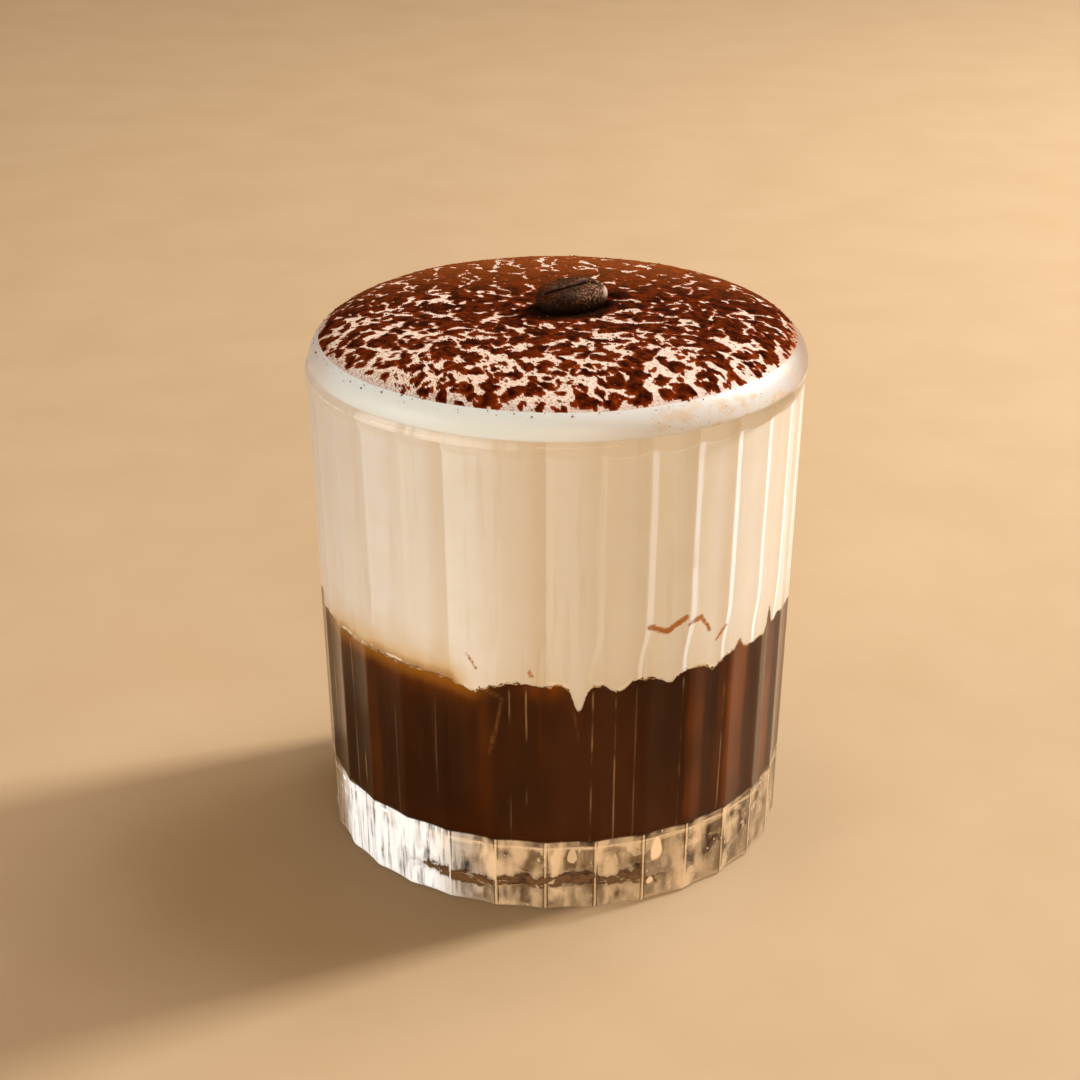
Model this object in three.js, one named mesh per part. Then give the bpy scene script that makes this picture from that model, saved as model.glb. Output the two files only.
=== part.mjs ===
// Tiramisu cold brew in a ribbed tumbler. A clear pressed glass with thirty concave flutes holds cold
// brew in its lower half and mascarpone cream above, which domes over the rim under a crust of cocoa
// clumps. One roasted coffee bean lies on top.
// Millimetres, +Z up, origin on the table under the middle of the glass. Angles go round +Z from the
// front, -Y, towards +X.
import * as THREE from 'three';

const degrees = THREE.MathUtils.degToRad;

// Glass
const GLASS_HEIGHT = 82;
const RIM_RADIUS = 41;
const BASE_RADIUS = 38.5;
const RIM_INNER_RADIUS = 38.5;
const FLOOR_INNER_RADIUS = 35.6;
const FLOOR_HEIGHT = 9.6;
const FLOOR_CORNER = 4;
const BASE_CHAMFER = 1;
const FOOT_RING_RADIUS = 25.5;
const RECESS_RADIUS = 21;
const RECESS_HEIGHT = 1;
const FLUTES = 30;
const FLUTE_DEPTH = 0.55;
const FLUTE_TURN = degrees(-2.5);
const FLUTE_TOP = 80.5;
const FLUTE_RUNOUT = 1.3;

// Drink and cream
const GAP = 0.3;
const INTERFACE_HEIGHT = 40.3;
const INTERFACE_LOBES = [
  { at: -140, width: 7, rise: 1.3 },
  { at: -110, width: 6, rise: -2 },
  { at: -85, width: 6, rise: 1.2 },
  { at: -21, width: 5, rise: -1.8 },
  { at: 5.5, width: 2, rise: -4.6 },
  { at: 14.8, width: 3.2, rise: -1.5 },
  { at: 28.5, width: 3, rise: -1.5 },
  { at: 41.5, width: 2.6, rise: -1.5 },
  { at: 50, width: 1.7, rise: 1.8 },
  { at: 64.6, width: 1.6, rise: 4.2 },
  { at: 72, width: 5, rise: 1.2 },
  { at: 100, width: 7, rise: -1.4 },
  { at: 128, width: 4, rise: 1.4 },
  { at: 155, width: 8, rise: -1.7 },
];
const DOME_RISE = 8.8;
const DOME_POWER = 4;
const DOME_ROUNDING = 2.2;
const FOOT_RADIUS = 40.7;
const FOOT_SWAY = 0.4;
const FOOT_DROP = 0.2;

// Cocoa
const COCOA_SEED = 20;
const COCOA_CLUMPS = 640;
const COCOA_REACH = 38.4;
const CLUMP_RADIUS = 0.9;
const CLUMP_SPREAD = 1.5;
const CLUMP_SLOPE = 0.2;
const LUMPS = [
  { x: 10.4, y: 3.2, size: 1.7 },
  { x: 8.7, y: -1.7, size: 1.3 },
];
const LUMP_HEIGHT = 0.8;

// Coffee bean
const BEAN_LENGTH = 12;
const BEAN_WIDTH = 8.2;
const BEAN_BELLY = 3.3;
const BEAN_CROWN = 2.25;
const BEAN_ROUNDNESS = 1.4;
const BEAN_FULLNESS = 2.3;
const BEAN_PITCH = 0.05;
const BEAN_LEAN = 0.1;
const BEAN_PLACE = new THREE.Vector3(2.5, -2.9, GLASS_HEIGHT + DOME_RISE + 2);
const BEAN_TURN = degrees(24);
const GROOVE_DEPTH = 1.1;
const GROOVE_WIDTH = 0.8;
const GROOVE_SWAY = 0.35;

// Fineness of the surfaces
const AROUND = 4 * FLUTES;
const CORNER_STEPS = 3;
const DOME_STEP = 1.45;

const mix = THREE.MathUtils.lerp;
const smooth = THREE.MathUtils.smoothstep;

// A point of a ring: its distance from the axis and its height
const spot = (radius, height) => ({ radius, height });

// A closed ring of count points, where place gives the spot at each angle
function ring(count, place) {
  const points = [];
  for (let i = 0; i < count; i += 1) {
    const angle = FLUTE_TURN + (2 * Math.PI * i) / count;
    const { radius, height } = place(angle);
    points.push(new THREE.Vector3(radius * Math.sin(angle), -radius * Math.cos(angle), height));
  }
  return points;
}

const circle = (count, radius, height) => ring(count, () => spot(radius, height));
const pole = (height) => [new THREE.Vector3(0, 0, height)];

// How far a ring's first point lies from the axis
const reach = (points) => Math.hypot(points[0].x, points[0].y);

// A closed surface through rings that run from one pole to the other. Neighbouring rings may differ
// in their number of points: the triangles step along whichever ring lags behind, and along the ring
// nearer the axis where neither does, so that faces on both sides of a gap are split alike.
function skin(rings) {
  const starts = [];
  let total = 0;
  for (const points of rings) {
    starts.push(total);
    total += points.length;
  }
  const triangles = [];
  for (let r = 0; r + 1 < rings.length; r += 1) {
    const [low, high] = [rings[r].length, rings[r + 1].length];
    const [lowStart, highStart] = [starts[r], starts[r + 1]];
    const lowSteps = low > 1 ? low : 0;
    const highSteps = high > 1 ? high : 0;
    const bias = reach(rings[r]) <= reach(rings[r + 1]) ? 0.5 : -0.5;
    let [i, j] = [0, 0];
    while (i < lowSteps || j < highSteps) {
      const here = [lowStart + (i % low), highStart + (j % high)];
      const lag = (j + 1) * lowSteps - (i + 1) * highSteps + bias;
      if (j >= highSteps || (i < lowSteps && lag > 0)) {
        triangles.push(here[0], lowStart + ((i + 1) % low), here[1]);
        i += 1;
      } else {
        triangles.push(here[0], highStart + ((j + 1) % high), here[1]);
        j += 1;
      }
    }
  }
  const geometry = new THREE.BufferGeometry().setFromPoints(rings.flat());
  geometry.setIndex(triangles);
  geometry.computeVertexNormals();
  return geometry;
}

function piece(name, geometry, color, roughness) {
  const material = new THREE.MeshStandardMaterial({ color, roughness, metalness: 0 });
  const mesh = new THREE.Mesh(geometry, material);
  mesh.name = name;
  return mesh;
}

const outerRadius = (height) => mix(BASE_RADIUS, RIM_RADIUS, height / GLASS_HEIGHT);

function innerRadius(height) {
  const share = (height - FLOOR_HEIGHT) / (GLASS_HEIGHT - FLOOR_HEIGHT);
  return mix(FLOOR_INNER_RADIUS, RIM_INNER_RADIUS, share);
}

// How deep the flutes cut at an angle: an arc that is deepest between two ridges
function fluteCut(angle) {
  const across = ((angle - FLUTE_TURN) * FLUTES) / (2 * Math.PI);
  const share = across - Math.floor(across + 1e-6);
  return FLUTE_DEPTH * (1 - (2 * share - 1) ** 2);
}

// Near the rim the flutes rise out of the glass, so that their ends form shallow arches
function flutedSpot(angle, height) {
  const left = 1 - smooth(height, FLUTE_TOP - FLUTE_RUNOUT, FLUTE_TOP);
  return spot(outerRadius(height) - fluteCut(angle) * left, height);
}

// The rounded corner between the floor and the wall inside, set in from the glass by a gap
function floorCorner(gap) {
  const steps = [];
  const centre = FLOOR_INNER_RADIUS - FLOOR_CORNER;
  const bend = FLOOR_CORNER - gap;
  for (let i = 0; i <= CORNER_STEPS; i += 1) {
    const turn = (Math.PI / 2) * (i / CORNER_STEPS);
    const radius = centre + bend * Math.sin(turn);
    const height = FLOOR_HEIGHT + FLOOR_CORNER - bend * Math.cos(turn);
    steps.push(spot(radius, height));
  }
  return steps;
}

function glassGeometry() {
  const wall = (RIM_RADIUS - RIM_INNER_RADIUS) / 2;
  const lipCentre = RIM_RADIUS - wall;
  const rings = [pole(RECESS_HEIGHT)];
  rings.push(circle(FLUTES, RECESS_RADIUS / 2, RECESS_HEIGHT));
  rings.push(circle(2 * FLUTES, RECESS_RADIUS, RECESS_HEIGHT));
  rings.push(circle(AROUND, FOOT_RING_RADIUS, 0));
  const foot = (angle) => spot(BASE_RADIUS - BASE_CHAMFER - fluteCut(angle), 0);
  rings.push(ring(AROUND, foot));
  for (const height of [BASE_CHAMFER, FLUTE_TOP - FLUTE_RUNOUT, FLUTE_TOP - FLUTE_RUNOUT / 2, FLUTE_TOP]) {
    rings.push(ring(AROUND, (angle) => flutedSpot(angle, height)));
  }
  for (const turn of [10, 50, 90, 130, 170]) {
    const radius = lipCentre + wall * Math.cos(degrees(turn));
    const height = GLASS_HEIGHT - wall + wall * Math.sin(degrees(turn));
    rings.push(circle(AROUND, radius, height));
  }
  for (const { radius, height } of floorCorner(0).reverse()) {
    rings.push(circle(AROUND, radius, height));
  }
  rings.push(circle(FLUTES, FLOOR_INNER_RADIUS / 2, FLOOR_HEIGHT));
  rings.push(pole(FLOOR_HEIGHT));
  return skin(rings);
}

// Height where cream and coffee meet: lobes and fingers at the wall that die out towards the axis
function interfaceHeight(radius, angle) {
  let rise = 0;
  for (const lobe of INTERFACE_LOBES) {
    const turn = THREE.MathUtils.radToDeg(angle) - lobe.at;
    const away = turn - 360 * Math.round(turn / 360);
    rise += lobe.rise * Math.exp(-((away / lobe.width) ** 2));
  }
  return INTERFACE_HEIGHT + rise * (radius / innerRadius(INTERFACE_HEIGHT)) ** 4;
}

// Rings of the face where cream and coffee meet, from the axis to the wall, moved up by a shift
function interfaceRings(shift) {
  const rings = [pole(INTERFACE_HEIGHT + shift)];
  for (const [count, share] of [[30, 0.4], [60, 0.72], [AROUND, 0.9], [AROUND, 1]]) {
    const place = (angle) => {
      const radius = share * (innerRadius(INTERFACE_HEIGHT) - GAP);
      return spot(radius, interfaceHeight(radius, angle) + shift);
    };
    rings.push(ring(count, place));
  }
  return rings;
}

function coffeeGeometry() {
  const rings = [pole(FLOOR_HEIGHT + GAP)];
  const corner = floorCorner(GAP);
  rings.push(circle(FLUTES, FLOOR_INNER_RADIUS / 2, FLOOR_HEIGHT + GAP));
  for (const { radius, height } of corner) {
    rings.push(circle(AROUND / 2, radius, height));
  }
  return skin([...rings, ...interfaceRings(-GAP / 2).reverse()]);
}

// The foot of the dome on the lip reaches a little further out on the right
const footRadius = (angle) => FOOT_RADIUS + FOOT_SWAY * Math.sin(angle);

// A flat-topped dome: a rounded box profile from the foot on the lip to the middle
function domeHeight(radius, angle) {
  const share = Math.min(1, radius / footRadius(angle));
  const rise = (1 - share ** DOME_POWER) ** (1 / DOME_ROUNDING);
  return GLASS_HEIGHT + FOOT_DROP + (DOME_RISE - FOOT_DROP) * rise;
}

// Repeatable draws from 0 to 1
function draws(seed) {
  let state = seed;
  return () => {
    state = (state * 1664525 + 1013904223) % 4294967296;
    return state / 4294967296;
  };
}

// Cocoa clumps laid along a sunflower spiral, each pushed off its place and drawn a size
function cocoaClumps() {
  const draw = draws(COCOA_SEED);
  const clumps = [];
  for (let i = 0; i < COCOA_CLUMPS; i += 1) {
    const radius = COCOA_REACH * Math.sqrt((i + 0.5) / COCOA_CLUMPS);
    const angle = i * Math.PI * (3 - Math.sqrt(5));
    const x = radius * Math.sin(angle) + 2 * draw() - 1;
    const y = -radius * Math.cos(angle) + 2 * draw() - 1;
    clumps.push({ x, y, size: CLUMP_RADIUS + CLUMP_SPREAD * draw() ** 2 });
  }
  return clumps;
}

const clumps = cocoaClumps();

// How far a place lies from the middle of a clump, as a share of the clump's size, at most 1
const shareOut = (x, y, clump) => Math.min(1, Math.hypot(x - clump.x, y - clump.y) / clump.size);

// Height of the cocoa over the cream: the tallest of the low clumps and of the two round lumps
function cocoaRelief(x, y) {
  let relief = 0;
  for (const clump of clumps) {
    relief = Math.max(relief, CLUMP_SLOPE * clump.size * (1 - shareOut(x, y, clump) ** 2));
  }
  for (const lump of LUMPS) {
    relief = Math.max(relief, LUMP_HEIGHT * Math.sqrt(1 - shareOut(x, y, lump) ** 2));
  }
  return relief;
}

// A place in the bean's own frame: along its length and across its width, from its middle
function onBean(x, y) {
  const east = x - BEAN_PLACE.x;
  const north = y - BEAN_PLACE.y;
  return {
    along: east * Math.cos(BEAN_TURN) + north * Math.sin(BEAN_TURN),
    across: north * Math.cos(BEAN_TURN) - east * Math.sin(BEAN_TURN),
  };
}

// The bean lies a little askew: its far side and its right end are raised
const beanSlant = (along, across) => BEAN_PITCH * along + BEAN_LEAN * across;

// The dimple that the bean presses into the cream: its belly, let out by the gap all round
function dimpleHeight(x, y) {
  const { along, across } = onBean(x, y);
  const end = Math.abs(along / (BEAN_LENGTH / 2 + GAP)) ** BEAN_FULLNESS;
  const side = Math.abs(across / (BEAN_WIDTH / 2 + GAP)) ** BEAN_FULLNESS;
  const depth = (BEAN_BELLY + GAP) * Math.max(0, 1 - end - side) ** (1 / BEAN_FULLNESS);
  return end + side < 1 ? BEAN_PLACE.z + beanSlant(along, across) - depth : Infinity;
}

function creamTop(radius, angle) {
  const x = radius * Math.sin(angle);
  const y = -radius * Math.cos(angle);
  const height = domeHeight(radius, angle) + cocoaRelief(x, y);
  return spot(radius, Math.min(height, dimpleHeight(x, y)));
}

function creamGeometry() {
  const rings = interfaceRings(GAP / 2);
  const shoulder = GLASS_HEIGHT - 1;
  rings.push(circle(AROUND, innerRadius(shoulder) - GAP, shoulder));
  const wall = (RIM_RADIUS - RIM_INNER_RADIUS) / 2;
  const overLip = wall + GAP;
  for (const turn of [140, 90]) {
    const radius = RIM_RADIUS - wall + overLip * Math.cos(degrees(turn));
    const height = GLASS_HEIGHT - wall + overLip * Math.sin(degrees(turn));
    rings.push(circle(AROUND, radius, height));
  }
  for (const share of [1, 0.994, 0.98, 0.955]) {
    rings.push(ring(AROUND, (angle) => creamTop(share * footRadius(angle), angle)));
  }
  const inside = 0.955 * FOOT_RADIUS;
  const steps = Math.round(inside / DOME_STEP);
  for (let i = steps - 1; i > 0; i -= 1) {
    const radius = (inside * i) / steps;
    const wanted = (2 * Math.PI * radius) / DOME_STEP;
    const count = Math.min(AROUND, Math.max(6, 2 * Math.round(wanted / 2)));
    rings.push(ring(count, (angle) => creamTop(radius, angle)));
  }
  const middle = creamTop(0, 0).height;
  return skin([...rings, pole(middle)]);
}

// A bean is a full ellipsoid with a round belly under a flatter crown, and a curved groove along the crown
function beanGeometry() {
  const geometry = new THREE.SphereGeometry(1, 32, 18);
  geometry.deleteAttribute('uv');
  geometry.rotateX(Math.PI / 2);
  const place = geometry.getAttribute('position');
  const point = new THREE.Vector3();
  for (let i = 0; i < place.count; i += 1) {
    point.fromBufferAttribute(place, i);
    const powers = point.toArray().map((value) => Math.abs(value) ** BEAN_FULLNESS);
    point.multiplyScalar((powers[0] + powers[1] + powers[2]) ** (-1 / BEAN_FULLNESS));
    const along = (point.x * BEAN_LENGTH) / 2;
    const across = (point.y * BEAN_WIDTH) / 2;
    const crown = 1 - (1 - Math.max(0, point.z)) ** BEAN_ROUNDNESS;
    const middle = GROOVE_SWAY * Math.sin(Math.PI * point.x);
    const away = (across - middle) / GROOVE_WIDTH;
    const groove = GROOVE_DEPTH * Math.exp(-(away ** 2));
    const height = crown * (BEAN_CROWN - groove) + BEAN_BELLY * Math.min(0, point.z);
    place.setXYZ(i, along, across, height + beanSlant(along, across));
  }
  geometry.computeVertexNormals();
  return geometry;
}

const tumbler = new THREE.Group();
tumbler.add(piece('glass', glassGeometry(), 0xf4f6f4, 0.03));
tumbler.add(piece('coffee', coffeeGeometry(), 0x3c1a08, 0.1));
tumbler.add(piece('cream', creamGeometry(), 0xeadcc8, 0.5));

const bean = piece('coffee_bean', beanGeometry(), 0x2b1710, 0.35);
bean.position.copy(BEAN_PLACE);
bean.rotation.z = BEAN_TURN;
tumbler.add(bean);

export default tumbler;
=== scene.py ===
from itertools import combinations

import bpy
import numpy as np
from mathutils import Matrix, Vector


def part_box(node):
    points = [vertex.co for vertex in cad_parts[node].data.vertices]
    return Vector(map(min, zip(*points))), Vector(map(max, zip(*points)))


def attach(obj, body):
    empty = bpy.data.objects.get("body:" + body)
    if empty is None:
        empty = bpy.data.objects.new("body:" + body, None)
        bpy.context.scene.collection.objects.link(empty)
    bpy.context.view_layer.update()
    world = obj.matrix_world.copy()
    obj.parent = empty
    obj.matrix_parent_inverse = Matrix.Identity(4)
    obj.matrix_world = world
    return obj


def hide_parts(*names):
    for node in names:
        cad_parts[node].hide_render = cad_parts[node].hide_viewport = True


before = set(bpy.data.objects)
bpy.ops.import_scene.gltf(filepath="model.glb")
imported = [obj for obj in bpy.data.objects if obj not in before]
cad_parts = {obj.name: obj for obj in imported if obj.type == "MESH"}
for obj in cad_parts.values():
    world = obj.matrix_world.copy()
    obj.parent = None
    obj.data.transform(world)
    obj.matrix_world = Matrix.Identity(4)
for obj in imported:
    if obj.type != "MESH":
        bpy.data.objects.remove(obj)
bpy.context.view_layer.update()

# Tiramisu cold brew in a ribbed tumbler: the glass, the coffee, the cream with its cocoa, loose cocoa
# grains and the coffee bean, each worked out as a surface in millimetres and put into its mesh in
# metres. An angle goes round +Z from -Y, the front, towards +X.

MM = 0.001

# Glass, in millimetres
GLASS_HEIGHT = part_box("glass")[1].z / MM
RIM_RADIUS = 40.97
BASE_RADIUS = 38.5
RIM_INNER_RADIUS = 38.5
FLOOR_INNER_RADIUS = 35.6
FLOOR_HEIGHT = 9.6
FLOOR_CORNER = 4.0
BASE_CHAMFER = 1.0
STANDING_RINGS = (29.0, 33.0, 35.0)
FLOOR_RINGS = (6.0, 15.0, 24.0)
FOOT_RING_RADIUS = 25.5
RECESS_RADIUS = 21.0
RECESS_HEIGHT = 1.0
RECESS_RINGS = (5.0, 11.0, 16.0)
FLUTES = 30
FLUTE_DEPTH = 0.55
FLUTE_TURN = np.radians(-2.5)
FLUTE_TOP = 80.5
FLUTE_RUNOUT = 1.3
FLUTE_SAG = 0.6
RIDGE_ROUND = 0.12
COLUMNS_PER_FLUTE = 16

# Drink and cream: how far they reach into the glass, and the face where they meet
WETTING = 0.06
FACE_GAP = 0.03
INTERFACE_HEIGHT = 40.3
INTERFACE_LOBES = [
    (-140, 7, 1.3), (-110, 6, -2), (-85, 6, 1.2), (-21, 5, -1.8), (5.5, 2, -4.6), (14.8, 3.2, -1.5),
    (28.5, 3, -1.5), (41.5, 2.6, -1.5), (50, 1.7, 1.8), (64.6, 1.6, 4.2), (72, 5, 1.2), (100, 7, -1.4),
    (128, 4, 1.4), (155, 8, -1.7),
]  # angle and width in degrees, rise in millimetres
RAGGED = 0.5
RAGGED_CIRCLE = 40.3
FACE_RINGS = (1, 0.985, 0.95, 0.88, 0.75, 0.5, 0.2)
WALL_ROWS = 44
FINE_BAND = 14
DEEPEST_MARK = 5

# Marks on the inside of the glass, by degrees from the front and millimetres of height
CRACKS = [
    ([(22.7, 49.2), (26.8, 47.9), (32.6, 49.7)], 0.52),
    ([(33.4, 48.2), (36.0, 49.3), (39.4, 46.2)], 0.38),
    ([(42.2, 44.0), (45.4, 46.0)], 0.32),
    ([(-21.7, 44.8), (-19.3, 42.4)], 0.25),
    ([(0.2, 40.2), (1.2, 37.2)], 0.8),
    ([(-6.4, 42.8), (-5.8, 42.0)], 0.35),
]  # amber lines in the cream, with half their thickness
WISPS = [
    ([(-20.7, 40.5), (-13.4, 37.6), (-16.1, 27.6)], 0.35),
    ([(4.2, 36.0), (5.4, 31.0)], 0.25),
]  # strands of cream in the coffee
AMBER_BANDS = [
    (-54.0, -50.0, 0.4), (-19.0, -15.7, 0.3), (34.4, 39.0, 0.75), (44.0, 46.2, 0.3), (47.4, 54.6, 1.0),
    (64.0, 70.0, 0.8),
]  # from and to in degrees, strength
PAINTED_GLEAMS = [
    (-61.2, 0.7), (-56.5, 1.0), (-43.0, 0.2), (-30.5, 0.2), (-11.4, 0.5), (-7.1, 0.55), (9.1, 0.6),
    (14.4, 0.6), (20.0, 0.25), (32.6, 0.45), (46.1, 0.7), (63.7, 0.8),
]  # painted highlights, thin light lines in the coffee: degrees and strength

# Painted light and shade in the thick base, in place of the light that the glass gathers
PAINTED_FLAMES = [
    (25.2, 9.4, 2.2, 2.6, 1.0), (23.6, 3.9, 1.8, 1.0, 0.9), (37.6, 9.6, 2.0, 2.6, 0.6),
    (49.0, 7.4, 1.6, 3.0, 0.5), (35.4, 3.4, 2.4, 1.0, 0.55), (-9.0, 10.6, 2.4, 1.2, 0.6),
    (4.0, 10.2, 1.4, 1.4, 0.6), (14.4, 8.6, 1.2, 1.6, 0.5),
]  # painted highlights, single gleams: degrees, height, half width in degrees, half height, strength
FOOT_LINE_HEIGHT = 1.3
UPPER_LINE_HEIGHT = 11.6
WARM_LIGHT = (0.74, 0.53, 0.32, 1)
COLD_LIGHT = (0.94, 0.97, 1.0, 1)
PAINTED_SHADE_COLOUR = (0.13, 0.06, 0.022, 1)

# Dome of cream over the rim
DOME_RISE = 8.8
DOME_POWER = 4.0
DOME_ROUNDING = 2.2
FOOT_RADIUS = 40.7
FOOT_SWAY = 0.38
FOOT_DROP = 0.2
FOOT_TUCK = 0.35
FOAM_SWELL = 0.12
SWELL_CELL = 14
CAP_SHARE = 0.955
CAP_CELLS = 232
WALL_COLUMNS = 2 * CAP_CELLS

# Cocoa
COCOA_SEED = 20
COCOA_REACH = 38.9
COCOA_THICKNESS = 0.16
GRAINS = 3600
GRAIN_MARGIN = 1.2
BARE = -3.0
LUMPS = [(10.4, 3.2, 1.55), (8.7, -1.7, 1.15)]
LUMP_HEIGHT = 0.8

# Coffee bean
BEAN_LENGTH = 12.0
BEAN_WIDTH = 8.2
BEAN_BELLY = 3.3
BEAN_CROWN = 2.2
BEAN_ROUNDNESS = 1.4
BEAN_FULLNESS = 2.3
BEAN_PITCH = 0.05
BEAN_LEAN = 0.1
BEAN_PLACE = np.array([2.5, -2.9, GLASS_HEIGHT + DOME_RISE + 2.0])
BEAN_TURN = np.radians(24)
GROOVE_DEPTH = 1.1
GROOVE_WIDTH = 0.42
GROOVE_SWAY = 0.35
BEAN_COLUMNS = 180
BEAN_ROWS = 140

# Studio: the side that the painted light lines turn to, and the lamps
LAMP_TURN = 78.0
LAMPS = [
    ("key", (0.817, 0.381, 0.631), (0, 0, 0.05), (0.13, 0.13), 12.0, (1, 0.95, 0.87)),
    ("left_sky", (-1.32, -0.48, 0.35), (0, 0, 0.05), (0.9, 0.6), 8.4, (0.94, 0.95, 0.92)),
    ("front_fill", (0.24, -1.38, 0.42), (0, 0, 0.05), (0.9, 0.6), 8.4, (1, 0.84, 0.62)),
    ("overhead", (0.55, 0.35, 1.3), (0, 0, 0.08), (0.5, 0.5), 6.2, (0.98, 1, 1)),
    ("window", (0.71, 0.79, 0.6), (0, 0, 0.01), (0.6, 0.35), 1.4, (1, 0.95, 0.9)),
]  # name, place and aim in metres, size, watts, colour
FLOOR_HALF = 2.5

# Camera of the photograph
CAMERA_HEIGHT_ANGLE = np.radians(23.056)
CAMERA_DISTANCE = 408.3
CAMERA_TARGET = np.array([-2.53, 0.0, 49.0])
CAMERA_LENS = 80.6
SENSOR = 36.0

# Multipliers of the fixed draws, and the bits that are kept
PRIMES = (374761393, 668265263, 974634777, 1274126177)
BITS_32 = 0xFFFFFFFF
BITS_24 = 0xFFFFFF


def mixed(a, b, share):
    return a + (b - a) * share


def eased(value, low, high):
    """0 below low, 1 above high, and the cubic 3t^2 - 2t^3 between them."""
    t = np.clip((value - low) / (high - low), 0, 1)
    return t * t * (3 - 2 * t)


def scrambled(i, j, seed):
    """A fixed draw from 0 to 1 for each whole-numbered place (i, j): its bits multiplied and folded."""
    i, j = i.astype(np.int64), j.astype(np.int64)
    bits = (i * PRIMES[0] + j * PRIMES[1] + seed * PRIMES[2]) & BITS_32
    bits = ((bits ^ (bits >> 13)) * PRIMES[3]) & BITS_32
    return ((bits ^ (bits >> 16)) & BITS_24) / BITS_24


def rolling(x, y, cell, seed):
    """Gradient noise from -1 to 1: at each corner of a square cell a slope in a drawn direction, and
    between the corners their ramps mixed by the quintic 6t^5 - 15t^4 + 10t^3."""
    x, y = x / cell, y / cell
    left, low = np.floor(x), np.floor(y)
    dx, dy = x - left, y - low
    tx, ty = (d * d * d * (d * (d * 6 - 15) + 10) for d in (dx, dy))

    def ramp(i, j):
        turn = 2 * np.pi * scrambled(left + i, low + j, seed)
        return np.cos(turn) * (dx - i) + np.sin(turn) * (dy - j)

    lower = mixed(ramp(0, 0), ramp(1, 0), tx)
    upper = mixed(ramp(0, 1), ramp(1, 1), tx)
    return 1.5 * mixed(lower, upper, ty)


def layered(x, y, cell, seed, layers=3):
    """Rolling noise with layers of half the cell and half the height added."""
    total = sum(rolling(x, y, cell / 2 ** k, seed + k) / 2 ** k for k in range(layers))
    return total / (2 - 0.5 ** (layers - 1))


def scattered(x, y, cell, least, most, seed):
    """Millimetres inside the nearest of many discs, one at a drawn place in each square cell, with
    radii from least to most by the square of a draw."""
    left, low = np.floor(x / cell), np.floor(y / cell)
    inside = np.full(np.shape(x), -cell)
    for i in (-1, 0, 1):
        for j in (-1, 0, 1):
            u, v = left + i, low + j
            east = (u + scrambled(u, v, seed)) * cell
            north = (v + scrambled(u, v, seed + 1)) * cell
            size = mixed(least, most, scrambled(u, v, seed + 2) ** 2)
            inside = np.maximum(inside, size - np.hypot(x - east, y - north))
    return inside


def line_distance(x, y, corners):
    """Millimetres from places (x, y) to a chain of straight lines through its corners."""
    nearest = np.inf
    for (a, b), (c, d) in zip(corners[:-1], corners[1:]):
        share = np.clip(((x - a) * (c - a) + (y - b) * (d - b)) / ((c - a) ** 2 + (d - b) ** 2), 0, 1)
        nearest = np.minimum(nearest, np.hypot(x - mixed(a, c, share), y - mixed(b, d, share)))
    return nearest


def outer_radius(height):
    return mixed(BASE_RADIUS, RIM_RADIUS, height / GLASS_HEIGHT)


def inner_radius(height):
    low = FLOOR_HEIGHT + FLOOR_CORNER
    return mixed(FLOOR_INNER_RADIUS, RIM_INNER_RADIUS, (height - low) / (GLASS_HEIGHT - low))


def polar(angle, radius, height):
    """Points (radius sin a, -radius cos a, height)."""
    angle, radius, height = np.broadcast_arrays(angle, radius, height)
    return np.stack([radius * np.sin(angle), -radius * np.cos(angle), height], axis=-1)


class Skin:
    """Points and faces of one closed surface, gathered from strips and put into a mesh at the end."""

    def __init__(self):
        self.points = []
        self.faces = {3: [], 4: []}
        self.count = 0

    def add(self, points):
        """Adds an array of points of any shape, and gives their numbers in that shape."""
        numbers = self.count + np.arange(points[..., 0].size).reshape(points.shape[:-1])
        self.points.append(points.reshape(-1, 3))
        self.count += numbers.size
        return numbers

    def strips(self, rows):
        """Joins each ring of numbers in rows, which all run round the same way, to the next one."""
        a, b = rows[:-1], rows[1:]
        quads = np.stack([a, np.roll(a, -1, 1), np.roll(b, -1, 1), b], axis=-1)
        self.faces[4].append(quads.reshape(-1, 4))

    def halve(self, fine, coarse):
        """Joins a ring to one with half as many points: three triangles to each coarse step."""
        even, odd, after = fine[0::2], fine[1::2], np.roll(fine[0::2], -1)
        following = np.roll(coarse, -1)
        for corners in ((even, odd, coarse), (odd, following, coarse), (odd, after, following)):
            self.faces[3].append(np.stack(corners, axis=-1))

    def pole(self, ring, point, last):
        """Closes a ring to one point: the surface's last point, or its first."""
        tip = np.full(ring.shape, self.add(np.array(point, float).reshape(1, 3))[0])
        corners = (ring, np.roll(ring, -1), tip) if last else (tip, np.roll(ring, -1), ring)
        self.faces[3].append(np.stack(corners, axis=-1))

    def mesh(self, name, outward=True, attributes=None):
        """The mesh, in metres and smooth, with each attribute's array of one number a point."""
        made = bpy.data.meshes.new(name)
        points = np.concatenate(self.points) * MM
        made.vertices.add(len(points))
        made.vertices.foreach_set("co", points.ravel())
        groups = [np.concatenate(self.faces[sides]) for sides in (3, 4) if self.faces[sides]]
        groups = [group if outward else group[:, ::-1] for group in groups]
        corners = np.concatenate([group.ravel() for group in groups])
        totals = np.concatenate([np.full(len(group), group.shape[1]) for group in groups])
        starts = np.concatenate([[0], np.cumsum(totals)[:-1]])
        made.loops.add(len(corners))
        made.polygons.add(len(totals))
        made.loops.foreach_set("vertex_index", corners.astype(np.int32))
        made.polygons.foreach_set("loop_start", starts.astype(np.int32))
        made.polygons.foreach_set("loop_total", totals.astype(np.int32))
        made.polygons.foreach_set("use_smooth", np.ones(len(totals), bool))
        for key, values in (attributes or {}).items():
            layer = made.attributes.new(key, "FLOAT", "POINT")
            layer.data.foreach_set("value", values.astype(np.float32))
        made.update(calc_edges=True)
        return made


def linked(name, data):
    """A new object in the scene."""
    made = bpy.data.objects.new(name, data)
    bpy.context.scene.collection.objects.link(made)
    return made


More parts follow.
